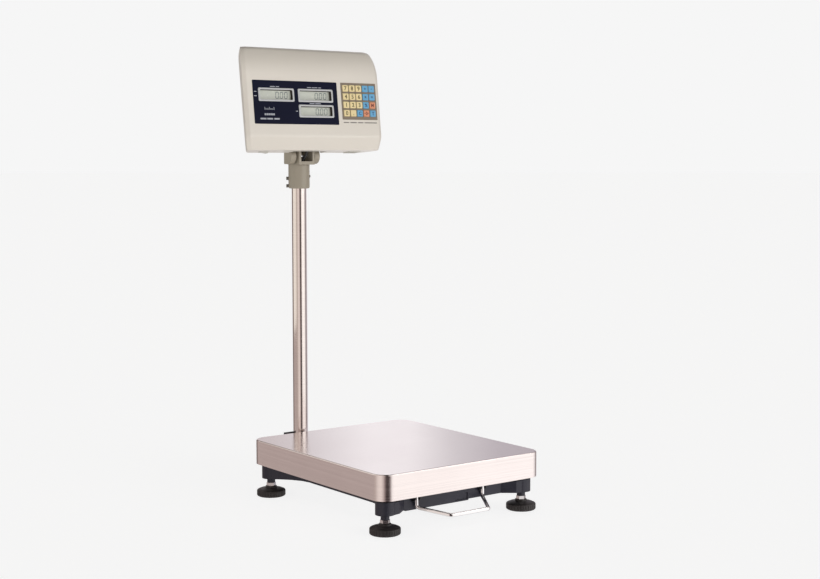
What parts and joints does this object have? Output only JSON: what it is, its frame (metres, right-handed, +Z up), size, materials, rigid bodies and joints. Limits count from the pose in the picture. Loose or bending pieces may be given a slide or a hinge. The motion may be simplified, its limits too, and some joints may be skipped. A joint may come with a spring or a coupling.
{
  "type": "pole-mounted price-computing platform scale",
  "caption": "Bench platform scale: brushed steel pan on a cast frame with levelling feet and a wire handle, and a tilting display and keypad head on a rear upright.",
  "frame": {"origin": "bottom centre of the whole object's bounding box, on the floor", "axes": "+Z up along the upright, -Y towards the user (front of the platform and face of the head), +X to the user's right"},
  "size_m": [0.4276, 0.5664, 0.9371],
  "materials": {
    "frame_paint": "slate blue-grey hammered enamel on an aluminium casting",
    "arm_paint": "satin black enamel on an aluminium casting",
    "foot_plastic": "matt black moulded, knurled rim",
    "zinc_steel": "bright zinc plate",
    "cell_aluminium": "milled and clear anodised",
    "black_paint": "satin black powder coat",
    "rubber_pads": "matt",
    "pan_steel": "long-grain brushed stainless",
    "pole_steel": "polished stainless tube, fine grain",
    "chrome_wire": "bright chrome plate",
    "vial_glass": "clear vial with a yellow-green liquid",
    "neck_plastic": "olive-beige, fine moulded grain",
    "screw_black": "black oxide",
    "cable_jacket": "grey-black PVC",
    "head_ivory": "ivory ABS, fine spark grain",
    "head_rear_ivory": "ivory ABS, fine spark grain",
    "panel_navy": "navy printed overlay, satin",
    "bezel_grey": "light grey",
    "lcd_glass": "grey-green reflective display",
    "keypad_brown": "brown-grey",
    "board_green": "solder mask",
    "battery_black": "matt",
    "fitting_grey": "warm light grey, satin",
    "key_yellow": "pale yellow",
    "key_blue": "mid blue",
    "key_orange": "orange"
  },
  "bodies": {
    "base": {"base_frame": "frame_paint", "foot_lock_nuts": "zinc_steel", "overload_stops": "zinc_steel", "bubble_level": "vial_glass", "load_cell": "cell_aluminium", "load_cell_spacers": "black_paint", "top_frame": "arm_paint", "pan_cushions": "rubber_pads", "handle_lugs": "black_paint", "pole_bracket": "black_paint", "pole": "pole_steel", "frame_bolts": "zinc_steel", "signal_cable": "cable_jacket"},
    "foot_fl": {"foot_stud_fl": "zinc_steel", "foot_pad_fl": "foot_plastic"},
    "foot_fr": {"foot_stud_fr": "zinc_steel", "foot_pad_fr": "foot_plastic"},
    "foot_rl": {"foot_stud_rl": "zinc_steel", "foot_pad_rl": "foot_plastic"},
    "foot_rr": {"foot_stud_rr": "zinc_steel", "foot_pad_rr": "foot_plastic"},
    "weighing_pan": {"pan": "pan_steel"},
    "handle": {"bail_handle": "chrome_wire"},
    "neck_assembly": {"neck": "neck_plastic", "neck_clamp_screws": "screw_black", "neck_cable": "cable_jacket"},
    "head": {"tilt_bracket": "neck_plastic", "tilt_pivot_bolt": "zinc_steel", "head_front_shell": "head_ivory", "head_rear_shell": "head_rear_ivory", "head_screws": "zinc_steel", "display_panel": "panel_navy", "lcd_bezels": "bezel_grey", "lcd_modules": "lcd_glass", "keypad_plate": "keypad_brown", "main_board": "board_green", "battery": "battery_black", "power_inlet": "fitting_grey"},
    "switch_rocker": {"power_switch": "fitting_grey"},
    "key_7": {"key_7": "key_yellow"},
    "key_8": {"key_8": "key_yellow"},
    "key_9": {"key_9": "key_yellow"},
    "key_f1": {"key_f1": "key_blue"},
    "key_f2": {"key_f2": "key_blue"},
    "key_4": {"key_4": "key_yellow"},
    "key_5": {"key_5": "key_yellow"},
    "key_6": {"key_6": "key_yellow"},
    "key_f3": {"key_f3": "key_blue"},
    "key_f4": {"key_f4": "key_blue"},
    "key_1": {"key_1": "key_yellow"},
    "key_2": {"key_2": "key_yellow"},
    "key_3": {"key_3": "key_yellow"},
    "key_f5": {"key_f5": "key_blue"},
    "key_f6": {"key_f6": "key_orange"},
    "key_0": {"key_0": "key_yellow"},
    "key_point": {"key_point": "key_yellow"},
    "key_clear": {"key_clear": "key_blue"},
    "key_zero": {"key_zero": "key_orange"},
    "key_tare": {"key_tare": "key_blue"}
  },
  "joints": [
    {"name": "foot_fl_screw", "type": "slide", "parent": "base", "child": "foot_fl", "axis": [0, 0, -1], "range_m": [0, 0.012]},
    {"name": "foot_fr_screw", "type": "slide", "parent": "base", "child": "foot_fr", "axis": [0, 0, -1], "range_m": [0, 0.012]},
    {"name": "foot_rl_screw", "type": "slide", "parent": "base", "child": "foot_rl", "axis": [0, 0, -1], "range_m": [0, 0.012]},
    {"name": "foot_rr_screw", "type": "slide", "parent": "base", "child": "foot_rr", "axis": [0, 0, -1], "range_m": [0, 0.012]},
    {"name": "pan_lift", "type": "slide", "parent": "base", "child": "weighing_pan", "axis": [0, 0, 1], "range_m": [0, 0.1]},
    {"name": "handle_swing", "type": "hinge", "parent": "base", "child": "handle", "pos_m": [0.00075, -0.2162, 0.062], "axis": [-1, 0, 0], "range_deg": [0, 46]},
    {"name": "neck_swivel", "type": "hinge", "parent": "base", "child": "neck_assembly", "pos_m": [-0.04325, 0.2508, 0.66], "axis": [0, 0, 1], "range_deg": [-170, 170]},
    {"name": "head_tilt", "type": "hinge", "parent": "neck_assembly", "child": "head", "pos_m": [-0.04325, 0.2408, 0.712], "axis": [-1, 0, 0], "range_deg": [-20, 30]},
    {"name": "power_rocker", "type": "hinge", "parent": "head", "child": "switch_rocker", "pos_m": [-0.15525, 0.21352, 0.72395], "axis": [0, -0.9925, 0.1219], "range_deg": [0, 14]},
    {"name": "key_7_press", "type": "slide", "parent": "head", "child": "key_7", "axis": [0, 0.9925, -0.1219], "range_m": [0, 0.0008], "stiffness_N_per_m": 500, "springref_m": -0.0006},
    {"name": "key_8_press", "type": "slide", "parent": "head", "child": "key_8", "axis": [0, 0.9925, -0.1219], "range_m": [0, 0.0008], "stiffness_N_per_m": 500, "springref_m": -0.0006},
    {"name": "key_9_press", "type": "slide", "parent": "head", "child": "key_9", "axis": [0, 0.9925, -0.1219], "range_m": [0, 0.0008], "stiffness_N_per_m": 500, "springref_m": -0.0006},
    {"name": "key_f1_press", "type": "slide", "parent": "head", "child": "key_f1", "axis": [0, 0.9925, -0.1219], "range_m": [0, 0.0008], "stiffness_N_per_m": 500, "springref_m": -0.0006},
    {"name": "key_f2_press", "type": "slide", "parent": "head", "child": "key_f2", "axis": [0, 0.9925, -0.1219], "range_m": [0, 0.0008], "stiffness_N_per_m": 500, "springref_m": -0.0006},
    {"name": "key_4_press", "type": "slide", "parent": "head", "child": "key_4", "axis": [0, 0.9925, -0.1219], "range_m": [0, 0.0008], "stiffness_N_per_m": 500, "springref_m": -0.0006},
    {"name": "key_5_press", "type": "slide", "parent": "head", "child": "key_5", "axis": [0, 0.9925, -0.1219], "range_m": [0, 0.0008], "stiffness_N_per_m": 500, "springref_m": -0.0006},
    {"name": "key_6_press", "type": "slide", "parent": "head", "child": "key_6", "axis": [0, 0.9925, -0.1219], "range_m": [0, 0.0008], "stiffness_N_per_m": 500, "springref_m": -0.0006},
    {"name": "key_f3_press", "type": "slide", "parent": "head", "child": "key_f3", "axis": [0, 0.9925, -0.1219], "range_m": [0, 0.0008], "stiffness_N_per_m": 500, "springref_m": -0.0006},
    {"name": "key_f4_press", "type": "slide", "parent": "head", "child": "key_f4", "axis": [0, 0.9925, -0.1219], "range_m": [0, 0.0008], "stiffness_N_per_m": 500, "springref_m": -0.0006},
    {"name": "key_1_press", "type": "slide", "parent": "head", "child": "key_1", "axis": [0, 0.9925, -0.1219], "range_m": [0, 0.0008], "stiffness_N_per_m": 500, "springref_m": -0.0006},
    {"name": "key_2_press", "type": "slide", "parent": "head", "child": "key_2", "axis": [0, 0.9925, -0.1219], "range_m": [0, 0.0008], "stiffness_N_per_m": 500, "springref_m": -0.0006},
    {"name": "key_3_press", "type": "slide", "parent": "head", "child": "key_3", "axis": [0, 0.9925, -0.1219], "range_m": [0, 0.0008], "stiffness_N_per_m": 500, "springref_m": -0.0006},
    {"name": "key_f5_press", "type": "slide", "parent": "head", "child": "key_f5", "axis": [0, 0.9925, -0.1219], "range_m": [0, 0.0008], "stiffness_N_per_m": 500, "springref_m": -0.0006},
    {"name": "key_f6_press", "type": "slide", "parent": "head", "child": "key_f6", "axis": [0, 0.9925, -0.1219], "range_m": [0, 0.0008], "stiffness_N_per_m": 500, "springref_m": -0.0006},
    {"name": "key_0_press", "type": "slide", "parent": "head", "child": "key_0", "axis": [0, 0.9925, -0.1219], "range_m": [0, 0.0008], "stiffness_N_per_m": 500, "springref_m": -0.0006},
    {"name": "key_point_press", "type": "slide", "parent": "head", "child": "key_point", "axis": [0, 0.9925, -0.1219], "range_m": [0, 0.0008], "stiffness_N_per_m": 500, "springref_m": -0.0006},
    {"name": "key_clear_press", "type": "slide", "parent": "head", "child": "key_clear", "axis": [0, 0.9925, -0.1219], "range_m": [0, 0.0008], "stiffness_N_per_m": 500, "springref_m": -0.0006},
    {"name": "key_zero_press", "type": "slide", "parent": "head", "child": "key_zero", "axis": [0, 0.9925, -0.1219], "range_m": [0, 0.0008], "stiffness_N_per_m": 500, "springref_m": -0.0006},
    {"name": "key_tare_press", "type": "slide", "parent": "head", "child": "key_tare", "axis": [0, 0.9925, -0.1219], "range_m": [0, 0.0008], "stiffness_N_per_m": 500, "springref_m": -0.0006}
  ]
}
